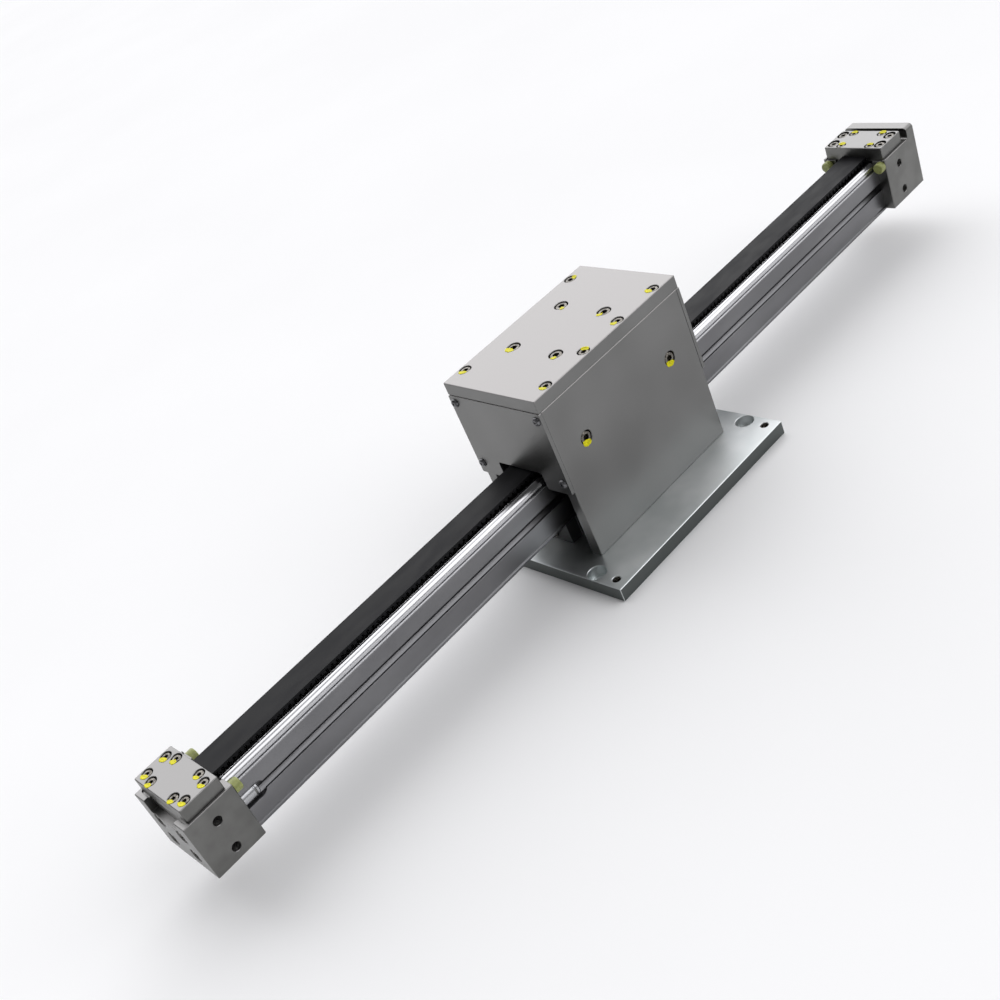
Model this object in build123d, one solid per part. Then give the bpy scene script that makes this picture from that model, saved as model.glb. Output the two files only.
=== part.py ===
from build123d import *
import os
from math import acos, atan2, cos, degrees, hypot, pi, radians, sin

# Belt driven linear module: a fixed carriage, and a profile that slides through it.
# Millimetres. X runs along the profile, the drive opening faces +Y and +Z is up.
# The origin is the centre of the base plate's bottom face.
# "near" is the end at -X and "far" the end at +X.

# Fits and small gaps
running_gap = 0.3
fit_gap = 0.05
hole_gap = 0.25
edge_break = 0.5
hole_edge = 0.4

# Base plate
base_length = 210.0
base_width = 180.0
base_thick = 12.0
bolt_margin_x = 8.5
bolt_margin_y = 31.0
bolt_hole_radius = 4.5
bolt_head_radius = 7.75
bolt_head_depth = 8.5
tapped_margin_y = 11.0
tapped_radius = 3.4

# Carriage box
box_length = 160.0
box_width = 100.0
side_height = 137.0
side_thick = 10.0
top_overhang = 2.5
top_thick = 11.0
cover_thick = 3.0
cover_height = 74.5
notch_half_width = 24.0
notch_corner = 3.0
notch_height = 15.0
cover_screw_margin = 6.5
cover_screw_rise = 10.0
side_screw_margin = 20.0
side_screw_count = 4
top_corner_margin = 17.0
top_screw_shift = 1.0
top_front_reach = 20.0

# Guide: a size 15 rail upside down under the profile, on two blocks
guide_height = 28.0
guide_block_width = 34.0
guide_block_body = 39.4
guide_cap_length = 11.0
guide_cap_step = 0.4
guide_reach = 46.0
guide_clear = 4.3
guide_screw_spacing = 26.0
guide_thread = 4.0
guide_thread_depth = 4.4
rail_width = 15.0
rail_height = 15.0
rail_groove = 1.5
rail_recess = 3.0
rail_setback = 1.0
rail_screw_pitch = 60.0
nipple_radius = 3.0
nipple_length = 5.5

# Profile
profile_length = 786.0
profile_start = -401.5
profile_width = 45.0
profile_height = 45.0
lip_height = 40.3
lip_thick = 1.7
groove_floor = 38.5
bead_radius = 4.5
bead_reach = 16.2
bead_height = 41.8
foot_reach = 1.0
foot_height = 2.5
slot_opening = 7.0
slot_lip = 1.8
slot_cavity_height = 12.5
slot_cavity_depth = 5.2
window_length = 20.5
window_height = 13.0
slot_key_radius = 3.4
slot_key_length = 15.5
slot_key_sink = 0.15
core_width = 20.0
core_height = 25.0
core_corner = 3.0
end_screw_thread = 6.0
end_screw_half_y = 14.5
end_screw_half_z = 9.5
end_screw_grip = 20.0

# Toothed belt
belt_width = 25.0
belt_pitch = 5.0
belt_body = 1.74
belt_tooth = 2.06
belt_cord_depth = 1.17
belt_lift = 2.2
tooth_root = 3.2
tooth_tip = 2.0
belt_end_inset = 0.6

# Idlers and drive pulley
idler_radius = 17.0
idler_reach = 51.0
idler_width = 28.0
axle_radius = 6.0
axle_screw_thread = 6.0
idler_bearing_outer = 14.0
idler_bearing_split = 11.5
idler_bearing_width = 8.0
spacer_wall = 2.5
pulley_teeth = 34
drive_rise = 10.5
pulley_width = 26.0
flange_thick = 2.0
flange_rise = 4.0
shaft_radius = 10.0
shaft_shoulder = 12.0
shaft_bore = 7.0
shaft_bore_depth = 40.0
shaft_slit = 1.5
shaft_slit_depth = 12.0
drive_bearing_outer = 18.5
drive_bearing_split = 15.25
drive_bearing_width = 9.0
bracket_thick = 10.0
bracket_gap = 3.0
bracket_half_length = 38.0
bracket_wall = 5.0
bracket_lip = 1.6
bracket_screw_reach = 28.5
key_width = 5.0
key_height = 5.0
key_length = 20.0
ring_thick = 1.2
ring_groove = 0.5
ring_radius = 12.0
clamp_ring_radius = 18.0
clamp_ring_width = 9.0
clamp_ring_clear = 2.5
clamp_ring_slit = 2.0
clamp_ring_screw_rise = 14.0
drive_opening_radius = 28.0
drive_bolt_circle = 74.0
drive_bolt_count = 4
drive_bolt_radius = 2.5

# End blocks and belt clamps
block_width = 65.0
block_height = 49.0
near_block_length = 41.2
far_block_length = 50.8
wall_thick = 11.0
wall_rise = 10.0
wall_corner = 3.7
wall_foot = 2.5
channel_half_width = 19.5
channel_depth = 11.0
clamp_length = 31.6
clamp_width = 60.0
clamp_thick = 12.0
clamp_corner = 1.0
pocket_depth = 1.0
pocket_corner = 3.0
pocket_reach = 1.4
near_clamp_inset = 20.0
far_clamp_inset = 17.8
clamp_outer_x = 8.0
clamp_outer_y = 24.5
clamp_inner_x = 10.8
clamp_inner_y = 14.8
clamp_slot = 3.0
clamp_screw_end = 40.0
jaw_gap = 0.1
tension_screw_y = 7.0
tension_screw_rise = 5.7
side_hole_spacing = 26.0
side_hole_depth = 12.0
rear_tap_radius = 2.5
near_side_hole_inset = 20.5
far_side_hole_inset = 20.5
bumper_radius = 4.8
bumper_length = 6.0
bumper_reach = 27.6
bumper_height = 43.0
bumper_stud_radius = 2.0
bumper_stud_length = 6.0

# Screw threads used in several places, and how deep they go
plate_thread = 5.0
frame_thread = 6.0
small_thread = 4.0
frame_thread_grip = 13.0
plate_thread_grip = 10.0
cover_thread_grip = 10.0
rail_thread_grip = 6.0
thread_spare = 3.0

# Levels and places that follow
bolt_spacing_x = base_length - 2 * bolt_margin_x
bolt_spacing_y = base_width - 2 * bolt_margin_y
tapped_spacing_y = base_width - 2 * tapped_margin_y
top_length = box_length + 2 * top_overhang
top_corner_reach = box_length / 2 - top_corner_margin
side_screw_step = (box_length - 2 * side_screw_margin) / (side_screw_count - 1)
side_screw_places = [side_screw_margin - box_length / 2 + n * side_screw_step for n in range(side_screw_count)]
box_top = base_thick + side_height
carriage_top = box_top + top_thick
side_inner = box_width / 2 - side_thick
side_middle = box_width / 2 - side_thick / 2
top_screw_reach = side_middle - top_screw_shift
cover_face = box_length / 2
rail_top = base_thick + guide_height
profile_low = rail_top - rail_recess
profile_top = profile_low + profile_height
slot_level = profile_low + profile_height / 2
slot_key_reach = profile_width / 2 - slot_key_radius - slot_key_sink
belt_low = profile_top + belt_lift
belt_root = belt_low + belt_tooth
belt_top = belt_root + belt_body
idler_level = belt_top + idler_radius
drive_level = idler_level + drive_rise
notch_top = cover_height + notch_height
pulley_pitch_radius = pulley_teeth * belt_pitch / (2 * pi)
pulley_back_radius = pulley_pitch_radius + belt_cord_depth
pulley_root_radius = pulley_back_radius - belt_body
pulley_land_radius = pulley_root_radius - running_gap
pulley_floor_radius = pulley_root_radius - belt_tooth - running_gap
idler_pitch_radius = idler_radius + belt_cord_depth
pulley_side = pulley_width / 2 + flange_thick
bracket_inner = pulley_side + bracket_gap
bracket_outer = bracket_inner + bracket_thick
clamp_ring_start = bracket_outer + clamp_ring_clear
shaft_end = clamp_ring_start + clamp_ring_width
block_top = profile_low + block_height
channel_floor = block_top - channel_depth
clamp_low = block_top - pocket_depth
clamp_top = clamp_low + clamp_thick
screw_end_level = profile_low + clamp_screw_end
bumper_level = profile_low + bumper_height
up = (0, 0, 1)
down = (0, 0, -1)


# Basic shapes
def block(x0, x1, y0, y1, z0, z1):
    """A box between two corners."""
    middle = Pos((x0 + x1) / 2, (y0 + y1) / 2, (z0 + z1) / 2)
    return middle * Box(abs(x1 - x0), abs(y1 - y0), abs(z1 - z0))


def plate(x0, x1, y0, y1, z0, z1):
    """A box with its edges broken."""
    solid = block(x0, x1, y0, y1, z0, z1)
    return chamfer(solid.edges(), edge_break)


def area(y0, y1, z0, z1):
    """A flat rectangle between two corners."""
    return Pos((y0 + y1) / 2, (z0 + z1) / 2) * Rectangle(abs(y1 - y0), abs(z1 - z0))


def at(shape, place, direction):
    """The shape moved so that its Z axis starts at the place and points along the direction."""
    return Plane(origin=place, z_dir=direction) * shape


def rod(radius, length, place, direction):
    """A cylinder from the place along the direction."""
    cylinder = Cylinder(radius, length, align=(Align.CENTER, Align.CENTER, Align.MIN))
    return at(cylinder, place, direction)


def sleeve(outer, inner, y0, y1, x, z):
    """A ring along Y."""
    start = (x, min(y0, y1), z)
    length = abs(y1 - y0)
    return rod(outer, length, start, (0, 1, 0)) - rod(inner, length, start, (0, 1, 0))


def turned(points):
    """A solid of revolution about Z from points of radius and height."""
    return revolve(Plane.XZ * make_face(Polyline(*points, close=True)), Axis.Z)


def lengthwise(section, x0, x1):
    """A YZ section extruded along X."""
    return Pos(min(x0, x1), 0, 0) * extrude(Plane.YZ * section, abs(x1 - x0))


def crosswise(section, half_width):
    """An XZ section extruded along Y to both sides."""
    return extrude(Plane.XZ * section, half_width, both=True)


# Fasteners
def head_radius(thread):
    """The head of a socket screw."""
    return (1.5 * thread + 1) / 2


def socket(thread, depth):
    """The hexagon that a key fits."""
    return extrude(RegularPolygon(round(0.8 * thread) / 2, 6, major_radius=False), depth)


def socket_screw(thread, length):
    """A socket screw along Z: the head sits on z 0 and the shank points down."""
    head = head_radius(thread)
    shank = thread / 2
    break_size = 0.08 * thread
    body = turned([(0, -length), (shank - break_size, -length), (shank, break_size - length), (shank, 0),
                   (head, 0), (head, thread - break_size), (head - break_size, thread), (0, thread)])
    return body - Pos(0, 0, thread / 2) * socket(thread, thread)


def button_screw(thread, length):
    """A button head screw along Z: the head sits on z 0 and the shank points down."""
    head = 0.95 * thread
    height = 0.55 * thread
    shank = thread / 2
    flat = 0.5 * thread
    rim = Line((head, 0), (head, 0.1 * height))
    dome = ThreePointArc((head, 0.1 * height), (0.8 * head, 0.72 * height), (flat, height))
    rest = Polyline((flat, height), (0, height), (0, -length), (shank, -length), (shank, 0), (head, 0))
    body = revolve(Plane.XZ * make_face([rim, dome, rest]), Axis.Z)
    return body - Pos(0, 0, height - 0.3 * thread) * socket(0.75 * thread, thread)


def hole(radius, depth):
    """A hole to cut away along Z: its mouth is at z 0, with a broken edge, and it goes down."""
    return turned([(0, -depth), (radius, -depth), (radius, -hole_edge), (radius + hole_edge, 0),
                   (radius + hole_edge, 1), (0, 1)])


def screw_hole(thread, depth, recess):
    """A counterbored hole for a socket screw, to cut away along Z."""
    head = head_radius(thread) + 3 * hole_gap
    return hole(head, recess) + rod(thread / 2 + hole_gap, depth, (0, 0, 0), down)


def thread_hole(thread, depth, place, inward):
    """A threaded hole that holds a screw."""
    return rod(thread / 2 + fit_gap, depth, place, inward)


def save(name, *shapes):
    """Write one node as separate solids."""
    solids = [solid for shape in shapes for solid in shape.solids()]
    export_step(Compound(solids), f"parts/{name}.step")


# Places of repeated things
def corners(half_x, half_y):
    """Four points, mirrored in X and Y."""
    return [(x, y) for x in (-half_x, half_x) for y in (-half_y, half_y)]


top_screw_places = corners(top_corner_reach, top_screw_reach) + [
    (-top_front_reach, -top_screw_reach), (top_front_reach, -top_screw_reach)]
bracket_screw_places = corners(bracket_screw_reach, bracket_inner + bracket_thick / 2)
side_screw_points = [(x, y) for x in side_screw_places for y in (-side_middle, side_middle)]
guide_screw_places = [(side * guide_reach + x, y) for side in (-1, 1)
                      for x, y in corners(guide_screw_spacing / 2, guide_screw_spacing / 2)]
cover_screw_points = [(y, z) for y in (-side_middle, side_middle)
                      for z in (cover_height + cover_screw_rise, box_top - cover_screw_margin)]
plate_recess = plate_thread + 0.6
frame_recess = frame_thread + 0.6
small_recess = small_thread + 0.4


# Carriage plates
def base_plate():
    """The steel plate that a user bolts down."""
    solid = plate(-base_length / 2, base_length / 2, -base_width / 2, base_width / 2, 0, base_thick)
    for x, y in corners(bolt_spacing_x / 2, bolt_spacing_y / 2):
        solid -= at(hole(bolt_head_radius, bolt_head_depth), (x, y, base_thick), up)
        solid -= at(hole(bolt_hole_radius, base_thick), (x, y, 0), down)
    for x, y in corners(bolt_spacing_x / 2, tapped_spacing_y / 2):
        solid -= at(hole(tapped_radius, base_thick / 2), (x, y, base_thick), up)
        solid -= at(hole(tapped_radius, base_thick), (x, y, 0), down)
    for x, y in side_screw_points:
        solid -= at(screw_hole(frame_thread, base_thick, frame_recess), (x, y, 0), down)
    for x, y in guide_screw_places:
        solid -= at(screw_hole(guide_thread, base_thick, small_recess), (x, y, 0), down)
    return solid


def side_plate(side):
    """One side of the carriage box; side is -1 in front and 1 at the back."""
    outer = side * box_width / 2
    solid = plate(-box_length / 2, box_length / 2, side * side_inner, outer, base_thick, box_top)
    for x in side_screw_places:
        place = (x, side * side_middle, base_thick)
        solid -= thread_hole(frame_thread, frame_thread_grip + thread_spare, place, up)
    for x, y in top_screw_places:
        if y * side > 0:
            solid -= thread_hole(plate_thread, plate_thread_grip + thread_spare, (x, y, box_top), down)
    for end in (-1, 1):
        for y, z in cover_screw_points:
            if y * side > 0:
                place = (end * cover_face, y, z)
                solid -= thread_hole(small_thread, cover_thread_grip + thread_spare, place, (-end, 0, 0))
        place = (end * idler_reach, outer, idler_level)
        solid -= at(screw_hole(axle_screw_thread, side_thick, frame_recess), place, (0, side, 0))
    if side > 0:
        solid -= drive_interface()
    return solid


def drive_interface():
    """The round opening and bolt circle where a gearbox goes on the back plate."""
    cut = at(hole(drive_opening_radius, side_thick), (0, box_width / 2, drive_level), (0, 1, 0))
    for number in range(drive_bolt_count):
        turn = 2 * pi * (number + 0.5) / drive_bolt_count
        x = drive_bolt_circle / 2 * cos(turn)
        z = drive_level + drive_bolt_circle / 2 * sin(turn)
        cut += at(hole(drive_bolt_radius, side_thick), (x, box_width / 2, z), (0, 1, 0))
    return cut


def top_plate():
    """The lid, with counterbores for the frame and bracket screws."""
    solid = plate(-top_length / 2, top_length / 2, -box_width / 2, box_width / 2, box_top, carriage_top)
    for x, y in top_screw_places:
        solid -= at(screw_hole(plate_thread, top_thick, plate_recess), (x, y, carriage_top), up)
    for x, y in bracket_screw_places:
        solid -= at(screw_hole(frame_thread, top_thick, frame_recess), (x, y, carriage_top), up)
    return solid


def cover(end):
    """A thin end cover with a notch for the belt; end is -1 near and 1 far."""
    half = box_width / 2
    outline = area(-half, half, cover_height, box_top)
    outline -= area(-notch_half_width, notch_half_width, cover_height, notch_top)
    foot_corners = [v for v in outline.vertices() if v.Z < cover_height + 1 or v.Y < cover_height + 1]
    outline = fillet(foot_corners, notch_corner / 2)
    for y, z in cover_screw_points:
        outline -= Pos(y, z) * Circle(small_thread / 2 + hole_gap)
    solid = lengthwise(outline, end * cover_face, end * (cover_face + cover_thick))
    return solid


def bracket(side):
    """A bearing bracket of the drive pulley, hung from the top plate."""
    low = drive_level - drive_bearing_outer - bracket_wall
    solid = plate(-bracket_half_length, bracket_half_length,
                  side * bracket_inner, side * bracket_outer, low, box_top)
    seat = (0, side * bracket_inner, drive_level)
    solid -= rod(drive_bearing_outer + fit_gap, drive_bearing_width + fit_gap, seat, (0, side, 0))
    solid -= rod(drive_bearing_outer - bracket_lip, bracket_thick, seat, (0, side, 0))
    for x, y in bracket_screw_places:
        if y * side > 0:
            solid -= thread_hole(frame_thread, frame_thread_grip + thread_spare, (x, y, box_top), down)
    return solid


# Screws of the carriage
def carriage_screws():
    """Every screw group of the carriage, one node each."""
    plate_seat = carriage_top - plate_recess
    frame_seat = carriage_top - frame_recess
    plate_length = plate_seat - box_top + plate_thread_grip
    bracket_length = frame_seat - box_top + frame_thread_grip
    save("top_plate_screws", *[at(socket_screw(plate_thread, plate_length), (x, y, plate_seat), up)
                               for x, y in top_screw_places])
    save("bracket_screws", *[at(socket_screw(frame_thread, bracket_length), (x, y, frame_seat), up)
                             for x, y in bracket_screw_places])
    side_length = base_thick - frame_recess + frame_thread_grip
    save("base_screws", *[at(socket_screw(frame_thread, side_length), (x, y, frame_recess), down)
                          for x, y in side_screw_points])
    guide_length = base_thick - small_recess + guide_thread_depth
    save("guide_block_screws", *[at(socket_screw(guide_thread, guide_length), (x, y, small_recess), down)
                                 for x, y in guide_screw_places])
    axle_length = side_thick - frame_recess + frame_thread_grip
    axle_seat = box_width / 2 - frame_recess
    save("idler_axle_screws", *[at(socket_screw(axle_screw_thread, axle_length),
                                   (end * idler_reach, side * axle_seat, idler_level), (0, side, 0))
                                for end in (-1, 1) for side in (-1, 1)])
    for name, end in (("near", -1), ("far", 1)):
        face = end * (cover_face + cover_thick)
        save(f"cover_screws_{name}", *[at(button_screw(small_thread, cover_thick + cover_thread_grip),
                                          (face, y, z), (end, 0, 0)) for y, z in cover_screw_points])


# Guide
def rail_section(gap):
    """The rail's section in YZ, grown by a gap on its sides and its lower face."""
    half = rail_width / 2 + gap
    low = rail_top - rail_height - gap
    middle = rail_top - rail_height / 2
    top = rail_top + gap
    right = [(half - rail_groove / 2, low), (half, low + rail_groove / 2), (half, middle - rail_groove),
             (half - rail_groove, middle), (half, middle + rail_groove), (half, top)]
    left = [(-y, z) for y, z in reversed(right)]
    return make_face(Polyline(*right, *left, close=True))


def guide_piece(x0, x1, step):
    """A length of guide block, open at the top for the rail."""
    half = guide_block_width / 2 - step
    top = rail_top - guide_clear - step
    section = area(-half, half, base_thick + step, top) - rail_section(running_gap)
    return lengthwise(section, x0, x1)


def guide_block(end):
    """The steel body of one guide block."""
    half = guide_block_body / 2
    solid = guide_piece(end * guide_reach - half, end * guide_reach + half, 0)
    for x, y in guide_screw_places:
        if x * end > 0:
            solid -= thread_hole(guide_thread, guide_thread_depth * 1.2, (x, y, base_thick), up)
    return solid


def guide_caps():
    """The plastic end caps, two on each guide block."""
    caps = []
    for end in (-1, 1):
        for side in (-1, 1):
            start = end * guide_reach + side * guide_block_body / 2
            caps.append(guide_piece(start, start + side * guide_cap_length, guide_cap_step))
    return caps


def grease_nipples():
    """One nipple on the outer end cap of each guide block."""
    reach = guide_reach + guide_block_body / 2 + guide_cap_length
    level = base_thick + (rail_top - rail_height - base_thick) / 2
    tip = nipple_radius * 0.5
    neck = nipple_radius * 0.35
    shape = turned([(0, 0), (nipple_radius, 0), (nipple_radius, nipple_length * 0.3),
                    (neck, nipple_length * 0.55), (tip, nipple_length * 0.8),
                    (neck, nipple_length), (0, nipple_length)])
    return [at(shape, (end * reach, 0, level), (end, 0, 0)) for end in (-1, 1)]


rail_start = profile_start + rail_setback
rail_end = profile_start + profile_length - rail_setback
rail_screw_count = int((rail_end - rail_start) // rail_screw_pitch)
rail_screw_first = (rail_start + rail_end - (rail_screw_count - 1) * rail_screw_pitch) / 2
rail_screw_places = [rail_screw_first + n * rail_screw_pitch for n in range(rail_screw_count)]
rail_bottom = rail_top - rail_height
rail_screw_seat = rail_bottom + small_recess
rail_screw_length = rail_height - small_recess + rail_thread_grip


def guide_rail():
    """The rail, with a counterbored hole for each screw."""
    solid = lengthwise(rail_section(0), rail_start, rail_end)
    for x in rail_screw_places:
        solid -= at(screw_hole(small_thread, rail_height, small_recess), (x, 0, rail_bottom), down)
    return solid


# Profile
def slot_cut(side):
    """The T slot of one side, in YZ."""
    face = profile_width / 2
    lip = face - slot_lip
    floor = lip - slot_cavity_depth
    shoulder = lip - slot_cavity_depth / 2
    half = slot_cavity_height / 2
    neck = slot_opening / 2
    mouth = area(side * shoulder, side * (face + 1), slot_level - neck, slot_level + neck)
    cavity = make_face(Polyline(
        (side * lip, slot_level - half), (side * lip, slot_level + half), (side * shoulder, slot_level + half),
        (side * floor, slot_level + neck), (side * floor, slot_level - neck),
        (side * shoulder, slot_level - half), close=True))
    return mouth + cavity


def profile_section():
    """The profile's section in YZ."""
    half = profile_width / 2
    lip_inner = half - lip_thick
    foot_round = min(foot_reach, foot_height / 2)
    section = area(-half, half, profile_low, profile_low + lip_height)
    section -= area(-lip_inner, lip_inner, profile_low + groove_floor, profile_low + lip_height)
    section += area(-bead_reach, bead_reach, profile_low + groove_floor - lip_thick, profile_top)
    foot_half = half + foot_reach
    section += area(-foot_half, foot_half, profile_low, profile_low + foot_height - foot_round)
    for side in (-1, 1):
        section += Pos(side * bead_reach, profile_low + bead_height) * Circle(bead_radius)
        section += Pos(side * (foot_half - foot_round), profile_low + foot_height - foot_round) * Circle(foot_round)
        section -= slot_cut(side)
        for row in (-1, 1):
            section -= Pos(side * end_screw_half_y, slot_level + row * end_screw_half_z) * Circle(
                end_screw_thread / 2 + fit_gap)
    section -= Pos(0, slot_level) * RectangleRounded(core_width, core_height, core_corner)
    section -= area(-rail_width / 2 - fit_gap, rail_width / 2 + fit_gap, profile_low, rail_top)
    return section


def profile():
    """The extruded profile, with its slot windows at the near end."""
    solid = lengthwise(profile_section(), profile_start, profile_start + profile_length)
    for x in rail_screw_places:
        solid -= thread_hole(small_thread, rail_thread_grip + small_thread / 8, (x, 0, rail_top), up)
    radius = window_height / 2
    window_end = profile_start + window_length
    depth = slot_lip + slot_cavity_depth / 2
    for side in (-1, 1):
        face = side * profile_width / 2
        solid -= block(profile_start, window_end - radius, face - side * depth, face,
                       slot_level - radius, slot_level + radius)
        solid -= rod(radius, depth, (window_end - radius, face, slot_level), (0, -side, 0))
    return solid


# End blocks
class End:
    """The places at one end of the profile; sign is -1 near and 1 far."""

    def __init__(self, sign, length, clamp_inset, side_hole_inset, outer_thread, outer_recess):
        self.sign = sign
        self.outer_thread = outer_thread
        self.outer_recess = outer_recess
        self.inner = profile_start if sign < 0 else profile_start + profile_length
        self.outer = self.inner + sign * length
        self.clamp_x = self.inner + sign * clamp_inset
        self.side_hole_x = self.inner + sign * side_hole_inset
        self.clamp_end = self.clamp_x + sign * clamp_length / 2
        self.wall_x = self.outer - wall_thick


near = End(-1, near_block_length, near_clamp_inset, near_side_hole_inset, small_thread, small_recess)
far = End(1, far_block_length, far_clamp_inset, far_side_hole_inset, plate_thread, plate_recess)


def clamp_places(end, half_x, half_y):
    """The four screws of one kind in a clamp plate."""
    return [(end.clamp_x + x, y) for x, y in corners(half_x, half_y)]


def end_screw_points():
    """The screws that hold a block on the profile, as Y and Z."""
    return [(y, slot_level + z) for y, z in corners(end_screw_half_y, end_screw_half_z)]


def clamp_pocket(end):
    """The shallow pocket that a clamp plate sits in."""
    pocket_end = end.clamp_end + end.sign * pocket_reach
    half = clamp_width / 2 + hole_gap
    pocket = block(end.inner - end.sign * pocket_corner, pocket_end, -half, half, clamp_low, block_top + 1)
    return fillet(pocket.edges().filter_by(Axis.Z), pocket_corner)


def end_wall():
    """The wall of the far block, rounded at its top corners and with a fillet at its foot."""
    half = block_width / 2
    top = block_top + wall_rise
    section = area(-half, half, block_top - channel_depth, top)
    top_corners = [v for v in section.vertices() if v.Y > top - 1]
    section = fillet(top_corners, wall_corner)
    solid = lengthwise(section, far.wall_x, far.outer)
    foot = block(far.wall_x - wall_foot, far.wall_x, -half, half, block_top - 1, block_top + wall_foot)
    foot -= rod(wall_foot, block_width, (far.wall_x - wall_foot, -half, block_top + wall_foot), (0, 1, 0))
    foot -= block(far.wall_x - wall_foot, far.wall_x, -channel_half_width, channel_half_width,
                  block_top - 1, block_top + wall_foot)
    return chamfer(solid.faces().sort_by(Axis.X)[-1].edges(), edge_break) + foot


def end_block(end):
    """The block that closes one end of the profile and carries a belt clamp."""
    half = block_width / 2
    solid = plate(end.inner, end.outer, -half, half, profile_low, block_top)
    channel_end = far.wall_x if end.sign > 0 else end.outer - 1
    if end.sign > 0:
        solid += end_wall()
    solid -= block(end.inner - end.sign, channel_end, -channel_half_width, channel_half_width,
                   channel_floor, block_top + 1)
    solid -= clamp_pocket(end)
    for y, z in end_screw_points():
        length = abs(end.outer - end.inner)
        solid -= at(screw_hole(end_screw_thread, length, frame_recess), (end.outer, y, z), (end.sign, 0, 0))
    for x, y in clamp_places(end, clamp_outer_x, clamp_outer_y):
        solid -= thread_hole(end.outer_thread, clamp_low - screw_end_level + 1, (x, y, clamp_low), down)
    for side in (-1, 1):
        for row in (-1, 1):
            place = (end.side_hole_x, side * half, slot_level + row * side_hole_spacing / 2)
            radius = rear_tap_radius if side > 0 else tapped_radius
            solid -= at(hole(radius, side_hole_depth), place, (0, side, 0))
        place = (end.inner, side * bumper_reach, bumper_level)
        solid -= thread_hole(bumper_stud_radius * 2, bumper_stud_length + 1, place, (end.sign, 0, 0))
    if end.sign > 0:
        for side in (-1, 1):
            place = (end.outer, side * tension_screw_y, clamp_low + tension_screw_rise)
            solid -= at(screw_hole(small_thread, wall_thick, small_recess), place, (1, 0, 0))
    else:
        for side in (-1, 1):
            root = (end.inner - 1, side * slot_key_reach, slot_level)
            key = rod(slot_key_radius, slot_key_length + 1, root, (1, 0, 0))
            solid += chamfer(key.edges(), edge_break)
    return solid


def clamp_plate(end):
    """The plate that presses the belt into its jaw."""
    half = clamp_width / 2
    solid = block(end.clamp_x - clamp_length / 2, end.clamp_x + clamp_length / 2, -half, half,
                  clamp_low, clamp_top)
    solid = fillet(solid.edges().filter_by(Axis.Z), clamp_corner)
    solid = chamfer(solid.faces().sort_by(Axis.Z)[-1].edges(), edge_break)
    recess_half = belt_width / 2 + running_gap
    solid -= block(end.clamp_x - clamp_length, end.clamp_x + clamp_length, -recess_half, recess_half,
                   clamp_low - 1, belt_top)
    for x, y in clamp_places(end, clamp_inner_x, clamp_inner_y):
        solid -= at(screw_hole(small_thread, clamp_thick, small_recess), (x, y, clamp_top), up)
    for x, y in clamp_places(end, clamp_outer_x, clamp_outer_y):
        if end.sign < 0:
            solid -= at(screw_hole(end.outer_thread, clamp_thick, end.outer_recess), (x, y, clamp_top), up)
        else:
            solid -= slotted_hole(x, y)
    if end.sign > 0:
        for side in (-1, 1):
            place = (end.clamp_end, side * tension_screw_y, clamp_low + tension_screw_rise)
            solid -= thread_hole(small_thread, clamp_thick, place, (-1, 0, 0))
    return solid


def slotted_hole(x, y):
    """A counterbored slot along X, so that the far clamp can be moved to tension the belt."""
    head = 2 * (head_radius(plate_thread) + 2 * hole_gap)
    shank = plate_thread + 2 * hole_gap
    wide = extrude(SlotCenterToCenter(clamp_slot, head), plate_recess)
    narrow = extrude(SlotCenterToCenter(clamp_slot, shank), clamp_thick)
    return Pos(x, y, clamp_top - plate_recess) * wide + Pos(x, y, clamp_low) * narrow


def clamp_jaw(end):
    """The toothed jaw under the belt."""
    start = end.clamp_x - clamp_length / 2
    stop = end.clamp_x + clamp_length / 2
    half = channel_half_width - hole_gap
    solid = block(start, stop, -half, half, channel_floor, clamp_low - jaw_gap)
    solid += block(start, stop, -belt_width / 2, belt_width / 2, channel_floor, belt_root - jaw_gap)
    for x in run_teeth(end.sign, start - belt_pitch, stop + belt_pitch):
        groove = make_face(Polyline(
            (x - tooth_root / 2 - jaw_gap, belt_root), (x + tooth_root / 2 + jaw_gap, belt_root),
            (x + tooth_tip / 2 + jaw_gap, belt_low - jaw_gap), (x - tooth_tip / 2 - jaw_gap, belt_low - jaw_gap),
            close=True))
        solid -= crosswise(groove, half + 1) & block(start, stop, -half, half, channel_floor, belt_root)
    for x, y in clamp_places(end, clamp_inner_x, clamp_inner_y):
        solid -= thread_hole(small_thread, clamp_low - screw_end_level + 1, (x, y, clamp_low), down)
    return solid


def clamp_screws(end, name):
    """The outer and inner screws of one clamp plate."""
    outer_seat = clamp_top - end.outer_recess
    inner_seat = clamp_top - small_recess
    save(f"clamp_outer_screws_{name}", *[
        at(socket_screw(end.outer_thread, outer_seat - screw_end_level), (x, y, outer_seat), up)
        for x, y in clamp_places(end, clamp_outer_x, clamp_outer_y)])
    save(f"clamp_inner_screws_{name}", *[
        at(socket_screw(small_thread, inner_seat - screw_end_level), (x, y, inner_seat), up)
        for x, y in clamp_places(end, clamp_inner_x, clamp_inner_y)])


def end_screws(end):
    """The long screws that hold a block on the profile."""
    seat = end.outer - end.sign * frame_recess
    length = abs(seat - end.inner) + end_screw_grip
    return [at(socket_screw(end_screw_thread, length), (seat, y, z), (end.sign, 0, 0))
            for y, z in end_screw_points()]


def tension_screws():
    """Screws through the far wall that pull the clamp and tension the belt."""
    seat = far.outer - small_recess
    length = seat - far.clamp_end + clamp_thick * 0.8
    return [at(socket_screw(small_thread, length),
               (seat, side * tension_screw_y, clamp_low + tension_screw_rise), (1, 0, 0))
            for side in (-1, 1)]


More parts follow.
